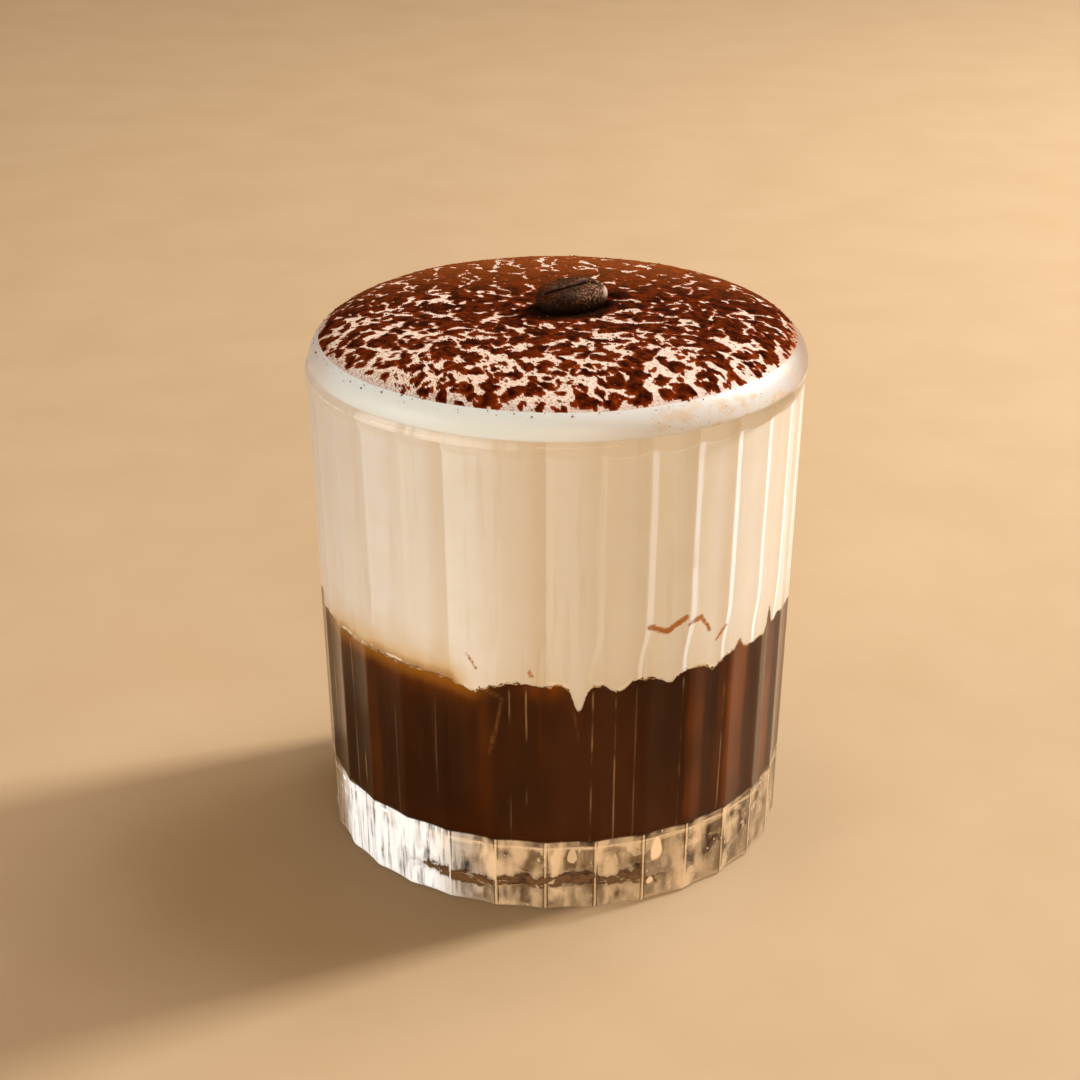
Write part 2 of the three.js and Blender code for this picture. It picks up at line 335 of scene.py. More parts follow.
def placed(name, mesh, material, slot, *nodes):
    """A piece with its mesh and material, riding on the body, in place of CAD nodes. The slot is not
    used.
    """
    piece = linked(name, mesh)
    mesh.materials.append(material)
    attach(piece, "root")
    if nodes:
        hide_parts(*nodes)


class Value:
    """A socket of a look's node, with arithmetic: each operator adds a Math node to the look."""

    def __init__(self, look, socket):
        self.look = look
        self.socket = socket

    def maths(self, operation, *terms):
        return self.look.node("ShaderNodeMath", dict(enumerate(terms)), operation=operation)

    def __add__(self, other):
        return self.maths("ADD", self, other)

    def __sub__(self, other):
        return self.maths("SUBTRACT", self, other)

    def __rsub__(self, other):
        return self.maths("SUBTRACT", other, self)

    def __mul__(self, other):
        return self.maths("MULTIPLY", self, other)

    __radd__ = __add__
    __rmul__ = __mul__

    def __abs__(self):
        return self.maths("ABSOLUTE", self)

    def floor(self):
        return self.maths("FLOOR", self)

    def cosine(self):
        return self.maths("COSINE", self)

    def above(self, other):
        """The greater of two values."""
        return self.maths("MAXIMUM", self, other)

    def other(self, name):
        """Another output of the same node."""
        return Value(self.look, self.socket.node.outputs[name])

    def eased(self, low, high):
        """0 below low, 1 above high, smooth between them; low may be the greater."""
        inputs = {"Value": self, "From Min": low, "From Max": high}
        return self.look.node("ShaderNodeMapRange", inputs, interpolation_type="SMOOTHSTEP")

    def within(self, start, full, fade, end):
        """1 from full to fade, 0 outside start and end, smooth between them."""
        return self.eased(start, full) * self.eased(end, fade)


class Look:
    """A material and its nodes."""

    def __init__(self, name, owner=None):
        self.material = owner or bpy.data.materials.new(name)
        self.material.use_nodes = True
        self.tree = self.material.node_tree
        self.tree.nodes.clear()

    def node(self, kind, inputs=None, output=0, **settings):
        """Adds a node of a kind with its settings, then the values or links of its sockets."""
        made = self.tree.nodes.new(kind)
        for key, value in settings.items():
            setattr(made, key, value)
        for key, value in (inputs or {}).items():
            if isinstance(value, Value):
                self.tree.links.new(value.socket, made.inputs[key])
            else:
                made.inputs[key].default_value = value
        return None if output is None else Value(self, made.outputs[output])

    def place(self):
        return self.node("ShaderNodeTexCoord", output="Object")

    def noise(self, size, detail=3.0, roughness=0.55, tall=1):
        """Noise from 0 to 1 with features of a size in millimetres, so many times as tall as wide."""
        scale = [1 / (size * MM * stretch) for stretch in (1, 1, tall)]
        where = self.node("ShaderNodeMapping", {"Vector": self.place(), "Scale": scale})
        inputs = {"Vector": where, "Scale": 1.0, "Detail": detail, "Roughness": roughness}
        return self.node("ShaderNodeTexNoise", inputs)

    def around(self):
        """Degrees round the axis from the front, and in millimetres the height, the distance from the
        axis and the places towards +X and behind the axis."""
        x = self.node("ShaderNodeSeparateXYZ", {"Vector": self.place()}, output="X")
        y, z = x.other("Y"), x.other("Z")
        angle = x.maths("ARCTAN2", x, 0 - y)
        radius = x.maths("SQRT", x * x + y * y)
        return (angle * float(np.degrees(1)), *(length * (1 / MM) for length in (z, radius, x, y)))

    def flutes(self, turn):
        """The number of the flute at an angle in degrees, and the share of the way across it."""
        step = (turn - float(np.degrees(FLUTE_TURN))) * (FLUTES / 360)
        number = step.floor()
        return number, step - number

    def draw(self, number):
        """A fixed draw from 0 to 1 for each whole number."""
        return self.node("ShaderNodeTexWhiteNoise", {"W": number}, noise_dimensions="1D")

    def mark(self, name):
        """An attribute that the mesh carries."""
        return self.node("ShaderNodeAttribute", output="Fac", attribute_name=name)

    def blend(self, share, first, second):
        """Two colours mixed."""
        return self.node("ShaderNodeMix", {0: share, 6: first, 7: second}, output=2, data_type="RGBA")

    def coats(self, ground, *coats):
        """A colour with coats over it, each one its share from 0 to 1 and its colour of 0 to 255."""
        for share, colour in coats:
            ground = self.blend(share, ground, paint(*colour))
        return ground

    def bump(self, height, depth, strength=1.0):
        """A normal from a height of 0 to 1 that stands for a depth in millimetres."""
        inputs = {"Height": height, "Distance": depth * MM, "Strength": strength}
        return self.node("ShaderNodeBump", inputs)

    def principled(self, **inputs):
        """The sockets are named as Blender names them, in small letters with underscores."""
        names = {key: key.replace("_", " ").title().replace("Ior", "IOR") for key in inputs}
        named = {names[key]: value for key, value in inputs.items()}
        return self.node("ShaderNodeBsdfPrincipled", named)

    def mixed(self, share, first, second):
        return self.node("ShaderNodeMixShader", {0: share, 1: first, 2: second})

    def done(self, shader):
        self.node("ShaderNodeOutputMaterial", {"Surface": shader}, output=None)
        return self.material


def paint(red, green, blue):
    """A colour from the numbers 0 to 255 of a screen, in Blender's linear light, with alpha 1."""
    share = np.array([red, green, blue]) / 255
    linear = np.where(share <= 0.04045, share / 12.92, ((share + 0.055) / 1.055) ** 2.4)
    return (*linear.tolist(), 1.0)


# The glass


def flute_cut(angle):
    """Depth of the flutes: the arc D (1 - (2s - 1)^2) with s the share of the way between two ridges,
    and the ridges rounded by the root of its square and a small square."""
    share = ((angle - FLUTE_TURN) * FLUTES / (2 * np.pi) + 1e-9) % 1
    return np.hypot(FLUTE_DEPTH * (1 - (2 * share - 1) ** 2), RIDGE_ROUND)


def lip_ring(turn, inset=0.0):
    """Radius and height on the half circle of the lip, by its angle from the outside over the top."""
    wall = (RIM_RADIUS - RIM_INNER_RADIUS) / 2
    reach = wall - inset
    return RIM_RADIUS - wall + reach * np.cos(turn), GLASS_HEIGHT - wall + reach * np.sin(turn)


def floor_corner(steps, reach=0.0):
    """Radii and heights of the round corner between floor and inner wall, let out by a reach."""
    turn = np.linspace(0, np.pi / 2, steps)
    bend = FLOOR_CORNER + reach
    return (
        FLOOR_INNER_RADIUS - FLOOR_CORNER + bend * np.sin(turn),
        FLOOR_HEIGHT + FLOOR_CORNER - bend * np.cos(turn),
    )


def glass_mesh():
    """The profile from under the base, up the fluted side, over the lip and down inside, carried round
    the axis; columns crowd towards the ridges by s = (1 - cos) / 2. A flute's middle ends lower."""
    share = 0.5 - 0.5 * np.cos(np.pi * np.arange(COLUMNS_PER_FLUTE) / COLUMNS_PER_FLUTE)
    angle = (FLUTE_TURN + 2 * np.pi * (np.arange(FLUTES)[:, None] + share) / FLUTES).ravel()
    cut = flute_cut(angle)
    rows = []

    def plain(radii, heights):
        for radius, height in zip(radii, heights):
            rows.append(polar(angle, radius, height))

    def fluted(radii, heights, left):
        for radius, height, kept in zip(radii, heights, left):
            rows.append(polar(angle, radius - cut * kept, height))

    slope = np.linspace(0, 1, 8)
    plain(RECESS_RINGS, [RECESS_HEIGHT] * 3)
    plain(mixed(RECESS_RADIUS, FOOT_RING_RADIUS, slope), RECESS_HEIGHT * (1 - eased(slope, 0, 1)))
    plain(STANDING_RINGS, [0] * 3)
    turn = np.linspace(0, np.pi / 2, 7)
    fluted(
        outer_radius(BASE_CHAMFER) - BASE_CHAMFER * (1 - np.sin(turn)),
        BASE_CHAMFER * (1 - np.cos(turn)),
        np.ones(7),
    )
    top = FLUTE_TOP - FLUTE_SAG * cut / FLUTE_DEPTH
    low_end = FLUTE_TOP - FLUTE_SAG - FLUTE_RUNOUT
    heights = np.linspace(BASE_CHAMFER, low_end, 16)[1:]
    fluted(outer_radius(heights), heights, np.ones(15))
    heights = np.linspace(low_end, FLUTE_TOP, 14)[1:, None]
    fluted(outer_radius(heights), heights, 1 - eased(heights, top - FLUTE_RUNOUT, top))
    plain(*lip_ring(np.linspace(0.1, np.pi, 22)))
    corner_top = FLOOR_HEIGHT + FLOOR_CORNER
    heights = np.linspace(GLASS_HEIGHT - 1.5, corner_top + 0.3, 14)
    plain(inner_radius(heights), heights)
    radii, heights = floor_corner(12)
    plain(radii[::-1], heights[::-1])
    plain(FLOOR_RINGS[::-1], [FLOOR_HEIGHT] * 3)
    skin = Skin()
    numbers = skin.add(np.array(rows))
    skin.strips(numbers)
    skin.pole(numbers[0], (0, 0, RECESS_HEIGHT), last=False)
    skin.pole(numbers[-1], (0, 0, FLOOR_HEIGHT), last=True)
    return skin.mesh("glass")


# Coffee and cream


def from_front(degrees):
    return (degrees + 180) % 360 - 180


def interface_height(radius, angle):
    """Where cream meets coffee: bell-shaped lobes h exp(-(a/w)^2) round the wall, ragged by noise, that
    die out towards the axis with the fourth power of the radius."""
    degrees = np.degrees(angle)
    rise = 0.0
    for at, width, height in INTERFACE_LOBES:
        rise = rise + height * np.exp(-((from_front(degrees - at) / width) ** 2))
    x, y = RAGGED_CIRCLE * np.sin(angle), RAGGED_CIRCLE * np.cos(angle)
    rise = rise + RAGGED * layered(x, y, 4.5, 31, layers=5) + 0.25 * layered(x, y, 1.1, 37, layers=2)
    return INTERFACE_HEIGHT + rise * (radius / inner_radius(INTERFACE_HEIGHT)) ** 4


def interface_rows(angle, shift):
    """Rings of that face from the wall to near the axis, all but the first moved up by a shift."""
    wall = inner_radius(INTERFACE_HEIGHT) + WETTING
    rows = []
    for share in FACE_RINGS:
        radius = wall * share
        height = interface_height(radius, angle) + (shift if share < 1 else 0)
        rows.append(polar(angle, radius, height))
    return np.array(rows)


def wall_rows(angle, low, high, steps):
    """Rings just inside the glass's inner wall, from low to high at each angle, both left out."""
    share = np.linspace(0, 1, steps + 2)[1:-1, None]
    height = mixed(low, high, share)
    return polar(angle, inner_radius(height) + WETTING, height)


def wall_angles():
    return np.pi / 4 + 2 * np.pi * np.arange(WALL_COLUMNS) / WALL_COLUMNS


def coffee_marks(degrees, height, depth):
    """What shows on the coffee's wall at each angle, height and depth under the cream. Amber: upright
    bands between two angles, and clouds under the cream. Wisp: millimetres inside the strands of cream.
    Depth: millimetres under the cream."""
    degrees = from_front(degrees) + 0 * height
    arc = np.radians(degrees) * FLOOR_INNER_RADIUS
    sway = layered(arc, height / 4, 3.0, 81, layers=2)
    amber = 0.9 * np.exp(-(((degrees + 2.5) / 5.5) ** 2) - (depth / 2.5) ** 2) * (1 + sway)
    for start, end, strength in AMBER_BANDS:
        edge = degrees + 0.7 * sway
        band = eased(edge, start - 0.5, start + 0.5) * (1 - eased(edge, end - 1.2, end + 0.8))
        amber = np.maximum(amber, strength * band * (0.75 + 0.5 * rolling(arc, height, 9.0, 85)))
    away = eased(np.abs(degrees), 72, 80)
    amber = np.maximum(amber, 0.55 * away * eased(rolling(arc, height / 9, 5.0, 87), 0.15, 0.5))
    wisp = -np.inf
    for corners, thick in WISPS:
        wisp = np.maximum(wisp, 0.6 * thick - line_distance(degrees, height, corners) / 1.6)
    near = np.exp(-((np.maximum(depth, 0) / 2.6) ** 1.4))
    glow = 1.1 * eased(degrees, -78, -68) * (1 - eased(degrees, -27, -14)) * near
    amber = np.maximum(amber, glow * (1 + sway))
    return {"amber": amber, "wisp": np.maximum(wisp, BARE), "depth": np.clip(depth, 0, DEEPEST_MARK)}


def cream_marks(degrees, height, rise):
    """What shows on the cream's wall at each angle, height and rise over the coffee. Haze: a golden
    cloud exp(-(h/r)^1.4) with a reach r of about 3.4. Stain: millimetres inside the amber cracks.
    Rise: millimetres over the coffee."""
    degrees = from_front(degrees) + 0 * height
    arc = np.radians(degrees) * RIM_INNER_RADIUS
    left = eased(degrees, -78, -68) * (1 - eased(degrees, -27, -18))
    patch = eased(rolling(np.abs(arc), 0 * arc, 11.0, 95), 0.0, 0.4) * eased(np.abs(degrees), 72, 84)
    reach = 3.4 + 1.8 * layered(arc, height, 5.0, 93)
    haze = (0.12 + 0.88 * left + 0.6 * patch) * np.exp(-((np.clip(rise, 0, None) / reach) ** 1.4))
    stain = -np.inf
    ragged = 0.35 * layered(arc, height, 1.4, 97, layers=3)
    for corners, thick in CRACKS:
        scaled = [(np.radians(a) * RIM_INNER_RADIUS, b) for a, b in corners]
        stain = np.maximum(stain, thick - line_distance(arc, height, scaled) + ragged)
    return {"haze": haze, "stain": np.maximum(stain, BARE), "rise": np.clip(rise, 0, DEEPEST_MARK)}


def coffee_mesh():
    """The floor, its round corner, the wall up to the uneven face under the cream, and that face."""
    angle = wall_angles()
    top = interface_rows(angle, -FACE_GAP)
    radii, heights = floor_corner(8, WETTING)
    low = np.array([polar(angle, radius, FLOOR_HEIGHT - WETTING) for radius in FLOOR_RINGS])
    corner = polar(angle, radii[:, None], heights[:, None])
    wall = wall_rows(angle, heights[-1], top[0, :, 2], WALL_ROWS)
    points = np.concatenate([low, corner, wall, top])
    skin = Skin()
    numbers = skin.add(points)
    skin.strips(numbers)
    skin.pole(numbers[0], (0, 0, FLOOR_HEIGHT - WETTING), last=False)
    skin.pole(numbers[-1], (0, 0, INTERFACE_HEIGHT - FACE_GAP), last=True)
    marks = {key: np.zeros(skin.count) for key in ("amber", "wisp", "depth")}
    values = coffee_marks(np.degrees(angle), points[..., 2], top[0, :, 2] - points[..., 2])
    for key, value in values.items():
        marks[key][numbers] = value
    return skin.mesh("coffee", attributes=marks)


def foot_radius(angle):
    return FOOT_RADIUS + FOOT_SWAY * np.sin(angle)


def dome_height(radius, angle):
    """The rounded box profile (1 - (r/R)^4)^(1/2.2) from the foot on the lip to the middle."""
    share = np.minimum(1, radius / foot_radius(angle))
    rise = (1 - share ** DOME_POWER) ** (1 / DOME_ROUNDING)
    return GLASS_HEIGHT + FOOT_DROP + (DOME_RISE - FOOT_DROP) * rise


def cocoa_field(x, y):
    """Millimetres inside the edge of the cocoa, below 0 outside it: round clumps and a crust of layered
    noise, the higher one at each place, both on places that noise has swayed; small pats fill the
    front, thin strands without cocoa wind through it, and it ends past its reach."""
    radius, angle = np.hypot(x, y), np.arctan2(x, -y)
    sway_x = x + 0.8 * layered(x, y, 2.4, 3)
    sway_y = y + 0.8 * layered(x, y, 2.4, 7)
    front = eased(-y, -5, 38)
    strand = 1 - eased(np.abs(rolling(sway_x, sway_y, 5.0, 71)), 0.02, 0.2)
    clumps = scattered(sway_x, sway_y, 3.0, 0.0, 1.7, 11) - 0.5 * strand
    crust = 1.9 * layered(sway_x, sway_y, 3.6, 31, layers=2)
    crust = crust + 2.2 * layered(sway_x, sway_y, 1.5, 35, layers=2)
    crust = crust + 0.8 - 0.8 * front + 0.2 * eased(y, -8, 8) - 0.2 * eased(y, 14, 26) - 1.3 * strand
    crust = crust + 0.15 * eased(y, -24, -14) - 0.4 * eased(-x, 14, 30)
    pats = scattered(sway_x, sway_y, 1.9, 0.1, 0.7, 15) - 0.3 * strand
    clumps = np.maximum(clumps, np.where(front > 0.5, pats, BARE))
    field = np.maximum(clumps, crust) + 0.18 * layered(x, y, 0.8, 51, layers=2)
    field = np.maximum(field, 1.4 * near_bean(x, y))
    reach = COCOA_REACH + 0.6 * np.cos(angle - 0.5) + 0.9 * layered(x, y, 6, 61, layers=2)
    return np.minimum(field, 1.5) - 3.0 * eased(radius, reach - 1.4, reach + 1.2)


def on_bean(x, y):
    """A place along the bean's length and across its width, from its middle."""
    east, north = x - BEAN_PLACE[0], y - BEAN_PLACE[1]
    along = east * np.cos(BEAN_TURN) + north * np.sin(BEAN_TURN)
    return along, north * np.cos(BEAN_TURN) - east * np.sin(BEAN_TURN)


def bean_shares(along, across):
    """That place in shares of half the bean's length and half its width."""
    return along / (BEAN_LENGTH / 2), across / (BEAN_WIDTH / 2)


def fullness(*shares):
    """The sum |u|^p + |v|^p ..., which is 1 on a full ellipsoid."""
    return sum(np.abs(share) ** BEAN_FULLNESS for share in shares)


def bean_slant(along, across):
    """The bean lies a little askew: its far side and its right end are raised."""
    return BEAN_PITCH * along + BEAN_LEAN * across


def near_bean(x, y):
    """1 at the bean's foot and 0 from 1.45 of its outline on, more to its left and front."""
    return 1 - eased(np.hypot(*bean_shares(*on_bean(x + 0.5, y + 0.7))), 1.05, 1.45)


def underside(x, y):
    """Underside of the bean, a full ellipsoid |u|^p + |v|^p + |w|^p = 1, far up outside it."""
    along, across = on_bean(x, y)
    spread = fullness(*bean_shares(along, across))
    depth = BEAN_BELLY * np.clip(1 - spread, 0, 1) ** (1 / BEAN_FULLNESS)
    return np.where(spread < 1, BEAN_PLACE[2] + bean_slant(along, across) - depth, np.inf)


def cream_top(x, y):
    """Height of the cream with its cocoa, and the cocoa's field there, 3 on the two lumps."""
    radius, angle = np.hypot(x, y), np.arctan2(x, -y)
    field = cocoa_field(x, y)
    height = dome_height(radius, angle) + FOAM_SWELL * layered(x, y, SWELL_CELL, 41, layers=2)
    crust = eased(field, -0.1, 0.8)
    height = height + crust * (COCOA_THICKNESS + 0.08 * layered(x, y, 0.9, 51, layers=2))
    for east, north, size in LUMPS:
        away = np.hypot((x - east) / 1.25, y - north) / size + 0.15 * layered(x, y, 1.2, 91, layers=2)
        height = height + LUMP_HEIGHT * np.sqrt(np.clip(1 - away ** 2, 0, 1))
        field = np.maximum(field, 3 * eased(away, 1.08, 0.92))
    return np.minimum(height, underside(x, y) + 0.02), field


def disc_grid(cells):
    """A square grid bent to a disc of radius 1: the larger coordinate is the radius, and the other
    one's share of it the angle. Gives x and y."""
    side = np.linspace(-1, 1, cells + 1)
    u, v = np.meshgrid(side, side)
    safe_u, safe_v = np.where(u == 0, 1, u), np.where(v == 0, 1, v)
    wide = np.abs(u) > np.abs(v)
    radius = np.where(wide, u, v)
    turn = np.where(wide, np.pi / 4 * v / safe_u, np.pi / 2 - np.pi / 4 * u / safe_v)
    return radius * np.cos(turn), radius * np.sin(turn)


def border(grid):
    """The outermost numbers of a square grid, anticlockwise from its right lower corner."""
    return np.concatenate([grid[:-1, -1], grid[-1, :0:-1], grid[:0:-1, 0], grid[0, :-1]])


def cream_mesh():
    """A cap on a disc grid, then rings down the dome's side, under its foot, over the lip, down the
    inner wall and in along the face on the coffee."""
    skin = Skin()
    x, y = disc_grid(CAP_CELLS)
    reach = CAP_SHARE * foot_radius(np.arctan2(x, -y))
    x, y = x * reach, y * reach
    z, field = cream_top(x, y)
    cap = skin.add(np.stack([x, y, z], axis=-1))
    quads = np.stack([cap[:-1, :-1], cap[1:, :-1], cap[1:, 1:], cap[:-1, 1:]], axis=-1)
    skin.faces[4].append(quads.reshape(-1, 4))
    angle = np.pi / 4 + 2 * np.pi * np.arange(4 * CAP_CELLS) / (4 * CAP_CELLS)
    foot = foot_radius(angle)
    start = (1 - CAP_SHARE ** DOME_POWER) ** (1 / DOME_ROUNDING)
    rise = np.linspace(start, 0, 12)[1:, None]
    radius = foot * (1 - rise ** DOME_ROUNDING) ** (1 / DOME_POWER)
    height = GLASS_HEIGHT + FOOT_DROP + (DOME_RISE - FOOT_DROP) * rise
    x_side, y_side = radius * np.sin(angle), -radius * np.cos(angle)
    height = height + FOAM_SWELL * layered(x_side, y_side, SWELL_CELL, 41, layers=2)
    side = skin.add(polar(angle, radius, height))
    touch = foot - FOOT_TUCK
    wall = (RIM_RADIUS - RIM_INNER_RADIUS) / 2
    lip_turn = np.arccos((touch - RIM_RADIUS + wall) / wall)
    touch_radius, touch_height = lip_ring(lip_turn, WETTING)
    bulge = np.array([0.35, 0.75])[:, None]
    tucked = mixed(foot, touch_radius, bulge ** 2)
    under = skin.add(polar(angle, tucked, mixed(height[-1], touch_height, bulge)))
    fine = np.concatenate([border(cap)[None], side, under])
    skin.strips(fine)
    coarse = wall_angles()
    turns = mixed(lip_turn[::2], np.pi, np.linspace(0, 1, 7)[:, None])
    over_lip = polar(coarse, *lip_ring(turns, WETTING))
    bottom = interface_rows(coarse, 0.0)
    band = INTERFACE_HEIGHT + FINE_BAND
    upper = wall_rows(coarse, over_lip[-1, :, 2], band, 6)
    lower = wall_rows(coarse, band, bottom[0, :, 2], WALL_ROWS)
    points = np.concatenate([over_lip, upper, lower, bottom])
    inner = skin.add(points)
    skin.halve(fine[-1], inner[0])
    skin.strips(inner)
    skin.pole(inner[-1], (0, 0, INTERFACE_HEIGHT), last=True)
    blank = {"cocoa": BARE, "shade": 0.0, "haze": 0.0, "stain": BARE, "rise": DEEPEST_MARK}
    marks = {key: np.full(skin.count, float(value)) for key, value in blank.items()}
    marks["cocoa"][cap] = field
    # painted shadow of the bean, more to its left and front
    marks["shade"][cap] = near_bean(x, y)
    over_coffee = points[..., 2] - bottom[0, :, 2]
    for key, value in cream_marks(np.degrees(coarse), points[..., 2], over_coffee).items():
        marks[key][inner] = value
    return skin.mesh("cream", outward=False, attributes=marks)


def ball():
    """The 12 corners and 20 faces of a regular icosahedron of radius 1."""
    golden = (1 + np.sqrt(5)) / 2
    corners = []
    for a in (-1, 1):
        for b in (-golden, golden):
            corners += [(0, a, b), (a, b, 0), (b, 0, a)]
    corners = np.array(corners) / np.hypot(1, golden)
    faces = []
    for i, j, k in combinations(range(12), 3):
        a, b, c = corners[[i, j, k]]
        if all(abs(side @ side - 4 / (1 + golden ** 2)) < 1e-6 for side in (a - b, b - c, c - a)):
            faces.append((i, j, k) if np.cross(b - a, c - a) @ a > 0 else (i, k, j))
    return corners, np.array(faces)


def grains_mesh():
    """Loose cocoa grains: icosahedra with each corner pushed in or out, stretched, sunk by a third into
    the surface, thick at the edges of the cocoa and thin on the bare cream."""
    rng = np.random.default_rng(COCOA_SEED)
    tries = 8 * GRAINS
    radius = (FOOT_RADIUS - GRAIN_MARGIN) * np.sqrt(rng.random(tries))
    angle = 2 * np.pi * rng.random(tries)
    x, y = radius * np.sin(angle), -radius * np.cos(angle)
    clear = np.hypot(*bean_shares(*on_bean(x, y))) > 1.05
    z, field = cream_top(x, y)
    wanted = 0.003 + 0.5 * eased(field, -0.15, 0.05) * (1 - 0.8 * eased(field, 0.15, 0.4))
    chosen = np.flatnonzero((rng.random(tries) < wanted) & clear)[:GRAINS]
    count = len(chosen)
    corners, faces = ball()
    size = 0.04 + 0.13 * rng.random(count) ** 3
    shape = corners * (1 + 0.35 * (rng.random((count, 12, 1)) - 0.5)) * size[:, None, None]
    shape = shape * (0.75 + 0.5 * rng.random((count, 1, 3)))
    middle = np.stack([x[chosen], y[chosen], z[chosen] + 0.3 * size], axis=-1)
    skin = Skin()
    numbers = skin.add(shape + middle[:, None])
    skin.faces[3].append(numbers[:, faces].reshape(-1, 3))
    return skin.mesh("cocoa_grains")


# The coffee bean


def bean_mesh():
    """A full ellipsoid with a round belly under a flatter crown, which rises by 1 - (1 - w)^1.4; a
    groove winds along the crown, between soft shoulders, and wrinkles cross it."""
    turn = 2 * np.pi * np.arange(BEAN_COLUMNS) / BEAN_COLUMNS
    tilt = np.linspace(-np.pi / 2, np.pi / 2, BEAN_ROWS)[1:-1, None]
    u, v, w = np.cos(tilt) * np.cos(turn), np.cos(tilt) * np.sin(turn), np.sin(tilt) + 0 * turn
    size = fullness(u, v, w) ** (-1 / BEAN_FULLNESS)
    u, v, w = u * size, v * size, w * size
    along, across = u * BEAN_LENGTH / 2, v * BEAN_WIDTH / 2
    crown = 1 - (1 - np.maximum(0, w)) ** BEAN_ROUNDNESS
    middle = GROOVE_SWAY * np.sin(np.pi * u) + 0.12 * rolling(along, 0 * along, 1.6, 5)
    away = np.abs(across - middle)
    open_end = 1 + 0.9 * eased(u, 0.2, 0.8)
    slit = np.exp(-((away / (GROOVE_WIDTH * open_end)) ** 2)) * eased(1 - np.abs(u), 0.1, 0.32)
    valley = 0.45 * np.exp(-((away / 1.2) ** 2))
    height = BEAN_CROWN * crown + BEAN_BELLY * np.minimum(0, w) - crown * (GROOVE_DEPTH * slit + valley)
    wrinkle = 0.06 * layered(along * 0.45, across, 0.9, 61, layers=3)
    outward = np.stack([u, v, w * 1.6], axis=-1)
    outward = outward / np.linalg.norm(outward, axis=-1, keepdims=True)
    points = np.stack([along, across, height], axis=-1) + wrinkle[..., None] * outward
    points[..., 2] += bean_slant(points[..., 0], points[..., 1])
    cos, sin = np.cos(BEAN_TURN), np.sin(BEAN_TURN)
    turned = points @ np.array([(cos, sin, 0), (-sin, cos, 0), (0, 0, 1)]) + BEAN_PLACE
    skin = Skin()
    numbers = skin.add(turned)
    skin.strips(numbers)
    skin.pole(numbers[0], turned[0].mean(0), last=False)
    skin.pole(numbers[-1], turned[-1].mean(0), last=True)
    groove = np.zeros(skin.count)
    groove[numbers] = crown * slit
    return skin.mesh("coffee_bean", attributes={"groove": groove})


# Looks


def painted_base_light(look, turn, height, number, share):
    """Painted light and shade where the thick base would gather light: soft upright shapes, with a tone
    and a slope in each flute, white and finely streaked at the left of the front, browner elsewhere
    with a painted dark waist; painted sparks, single painted flames, a light and a dark line along each
    ridge, and light lines round the foot and under the coffee. Gives the share of painted light and
    shade, and its colour."""
    tone = look.draw(number + 60)
    soft = look.noise(2.6, detail=2, roughness=0.5, tall=2.2)
    slope = (share - 0.5) * (tone - 0.5) * 1.4 + abs(turn).eased(36, 14) * 0.2 + 0.4
    painted_glow = soft.eased(0.3, 0.66) * slope
    left = turn.within(-76, -62, -34, -14)
    streak = look.noise(0.9, tall=9).eased(0.46, 0.72) * 0.75
    painted_glow = ((0.92 - streak - soft.eased(0.42, 0.3) * 0.25) * left).above(painted_glow)
    spark = look.noise(0.8, detail=2, tall=1.6).eased(0.66, 0.72) * 0.7
    wavy = height + (soft - 0.5) * 3.4 + (tone - 0.5) * 1.4
    waist = wavy.within(3.4, 4.6, 5.4, 6.6) * turn.within(-48, -24, 18, 34)
    waist = waist * look.noise(1.5, tall=0.5).eased(0.3, 0.55)
    painted_glow = spark.above(painted_glow) * (1 - waist * 0.8)
    ridge = abs(share - 0.5)
    painted_glow = (ridge.eased(0.474, 0.49) * (tone * 0.3 + 0.5)).above(painted_glow)
    for at, middle, wide, tall, strength in PAINTED_FLAMES:
        across, up = (turn - at) * (1 / wide), (height - middle) * (1 / tall)
        away = across * across * (up.eased(-1, 1) * 2 + 0.6) + up * up + (soft - 0.5) * 1.6
        painted_glow = (away.eased(1, 0.4) * strength).above(painted_glow)
    painted_glow = painted_glow.above(height.eased(FOOT_LINE_HEIGHT, FOOT_LINE_HEIGHT - 0.3) * 0.3)
    painted_glow = painted_glow.above(abs(height - UPPER_LINE_HEIGHT).eased(0.4, 0.1) * 0.4)
    painted_shade = (waist * 0.8).above(ridge.within(0.44, 0.452, 0.464, 0.474) * 0.7)
    tint = look.blend(left, WARM_LIGHT, COLD_LIGHT)
    tint = look.blend((painted_shade - painted_glow).eased(0, 0.2), tint, PAINTED_SHADE_COLOUR)
    return painted_shade.above(painted_glow) * height.within(0.1, 0.5, 12.5, 12.9), tint


